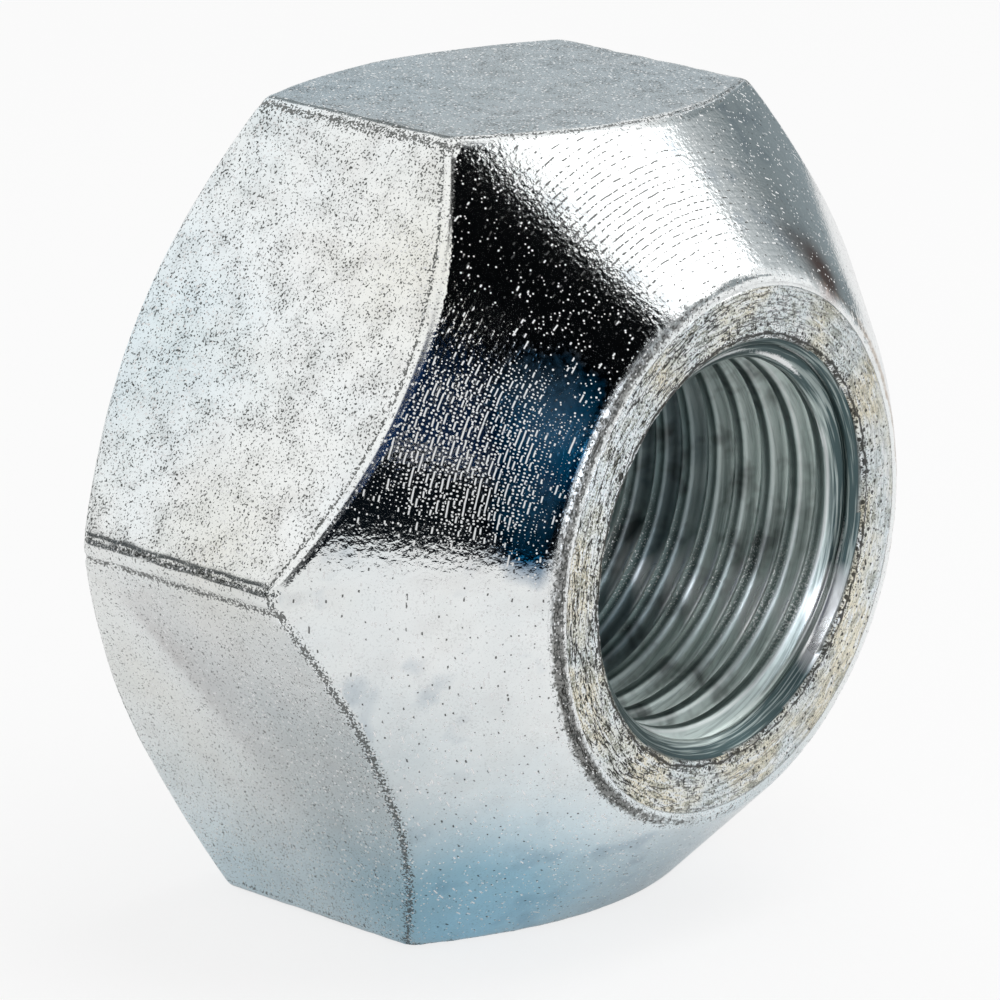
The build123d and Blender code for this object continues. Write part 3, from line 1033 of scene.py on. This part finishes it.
def white_world(studio):
    """A plain white studio all round: white to look at and in mirrors, softer as light on the floor."""
    world = bpy.data.worlds.new("white_studio")
    bpy.context.scene.world = world
    add = functools.partial(add_node, new_tree(world))
    path = add("LightPath").outputs
    seen = add("Math MAXIMUM", path["Is Camera Ray"], path["Is Glossy Ray"])
    seen = add("Math MAXIMUM", seen, path["Is Transmission Ray"])
    strength = add("MapRange", seen, 0, 1, studio.fill_level, studio.white_level)
    add("OutputWorld", {"Surface": add("Background", {"Color": (1, 1, 1, 1), "Strength": strength})})


def pale_floor(studio):
    """A matt white floor. A little glow lifts it to white for the eye, and the nut's shadow stays on it."""
    half = 2.0
    corners = [(-half, -half, LOW.z), (half, -half, LOW.z), (half, half, LOW.z), (-half, half, LOW.z)]
    mesh = bpy.data.meshes.new("floor")
    mesh.from_pydata(corners, [], [(0, 1, 2, 3)])
    material = bpy.data.materials.new("matt_white_floor")
    add = functools.partial(add_node, new_tree(material))
    path = add("LightPath").outputs
    mirrored = add("Math MAXIMUM", path["Is Glossy Ray"], path["Is Transmission Ray"])
    lift = add("Math MULTIPLY", mirrored, studio.mirrored_lift)
    lift = add("Math MULTIPLY_ADD", path["Is Camera Ray"], studio.floor_lift, lift)
    matt = add("BsdfDiffuse", {"Color": linear("F4F4F4")})
    glow = add("Emission", {"Color": (1, 1, 1, 1), "Strength": 1.0})
    add("OutputMaterial", {"Surface": add("MixShader", lift, matt, glow)})
    mesh.materials.append(material)
    floor = bpy.data.objects.new("floor", mesh)
    bpy.context.scene.collection.objects.link(floor)


def place_camera(studio):
    """The camera, from its direction, roll, distance and sidestep. It looks straight back along its
    direction, past the middle of the front face."""
    a, e, roll = studio.azimuth, studio.elevation, studio.roll
    back = Vector((math.sin(a) * math.cos(e), -math.cos(a) * math.cos(e), math.sin(e)))
    level_right = Vector((math.cos(a), math.sin(a), 0))
    level_up = back.cross(level_right)
    right = level_right * math.cos(roll) + level_up * math.sin(roll)
    up = level_up * math.cos(roll) - level_right * math.sin(roll)
    place = Vector((0, FRONT, 0)) + right * studio.offset[0] + up * studio.offset[1] + back * studio.distance
    camera = bpy.data.cameras.new("camera")
    camera.sensor_width = 36
    camera.lens = studio.lens
    camera.clip_start, camera.clip_end = 0.01, 20
    obj = bpy.data.objects.new("camera", camera)
    turn = Matrix((right, up, back)).transposed().to_4x4()
    obj.matrix_world = Matrix.Translation(place) @ turn
    bpy.context.scene.collection.objects.link(obj)
    bpy.context.scene.camera = obj


# ---------------------------------------------------------------------------------------------
# Operators, panel and registration
# ---------------------------------------------------------------------------------------------


class LUGNUT_OT_nut(bpy.types.Operator):
    """Builds the plated nut with its thread and puts it in the place of the plain solid"""

    bl_idname = "lugnut.nut"
    bl_label = "Build Nut"

    def execute(self, context):
        mesh = nut_mesh(context.scene.nut_sizes)
        mesh.materials.append(zinc_plated_steel(context.scene.zinc_finish))
        nut = bpy.data.objects.new("lug_nut", mesh)
        context.scene.collection.objects.link(nut)
        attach(nut, "root")
        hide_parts(NODE)
        return {"FINISHED"}


class LUGNUT_OT_studio(bpy.types.Operator):
    """Sets up the floor, the white studio with its lamps and cards, and the camera"""

    bl_idname = "lugnut.studio"
    bl_label = "Build Studio"

    def execute(self, context):
        studio = context.scene.studio_settings
        white_world(studio)
        pale_floor(studio)
        soft_box("key_light", 52, 46, 0.45, 0.30, 0.22, 1.0)
        soft_box("top_light", 60, 78, 0.6, 0.4, 0.4, studio.top_level, mirrored=False)
        studio_card("black_flag", (-26, 16), (27, 64), ("030405", "030405"))
        studio_card("fading_flag", (16, 34), (27, 64), ("030405", "9A9EA0"))
        studio_card("blue_flag", (-62, -26), (14, 40), ("12305A", "071424"))
        studio_card("low_flag", (-62, -26), (-3.5, 14), ("0C1218", "06080A"), 0.22)
        studio_card("low_edge", (-62, -26), (-6, -3.5), ("2C3236", "2C3236"), 0.22)
        studio_card("low_fade", (-62, -26), (-8.5, -6), ("7A8286", "7A8286"), 0.22)
        studio_card("bore_glint", (-12, 3), (2, 20), ("EAF2FF", "EAF2FF"), radiance=7.0)
        studio_card("grey_card_front", (10, 60), (13, 27), ("8A9295", "8A9295"))
        studio_card("fading_card_right", (66, 92), (-2, 35), ("F4F6F7", "7B8487"))
        studio_card("grey_card_right", (92, 112), (-2, 35), ("7B8487", "8F9A9F"))
        studio_card("pale_card_right", (63, 98), (35, 41), ("F6F8F8", "BCC2C4"))
        studio_card("grey_card_rear", (112, 150), (5, 24), ("A8B1B6", "BEC6CB"))
        studio_card("grey_card_high", (125, 160), (26, 50), ("7C8284", "7C8284"))
        studio_card("grey_strip_left", (-145, -115), (-1, 23), ("4A4E50", "4A4E50"))
        place_camera(studio)
        context.scene.view_settings.view_transform = "Standard"
        return {"FINISHED"}


class LUGNUT_PT_panel(bpy.types.Panel):
    """Lists the settings and the two builders"""

    bl_label = "Lug Nut"
    bl_space_type = "VIEW_3D"
    bl_region_type = "UI"
    bl_category = "Lug Nut"

    def draw(self, context):
        scene = context.scene
        for group in (scene.nut_sizes, scene.zinc_finish, scene.studio_settings):
            for name in group.__annotations__:
                self.layout.prop(group, name)
        self.layout.operator("lugnut.nut")
        self.layout.operator("lugnut.studio")


CLASSES = (NutSizes, ZincFinish, StudioSettings, LUGNUT_OT_nut, LUGNUT_OT_studio, LUGNUT_PT_panel)


def register():
    for cls in CLASSES:
        bpy.utils.register_class(cls)
    bpy.types.Scene.nut_sizes = PointerProperty(type=NutSizes)
    bpy.types.Scene.zinc_finish = PointerProperty(type=ZincFinish)
    bpy.types.Scene.studio_settings = PointerProperty(type=StudioSettings)


def unregister():
    del bpy.types.Scene.studio_settings
    del bpy.types.Scene.zinc_finish
    del bpy.types.Scene.nut_sizes
    for cls in reversed(CLASSES):
        bpy.utils.unregister_class(cls)


def main():
    register()
    bpy.ops.lugnut.nut()
    bpy.ops.lugnut.studio()


if __name__ == "__main__":
    main()
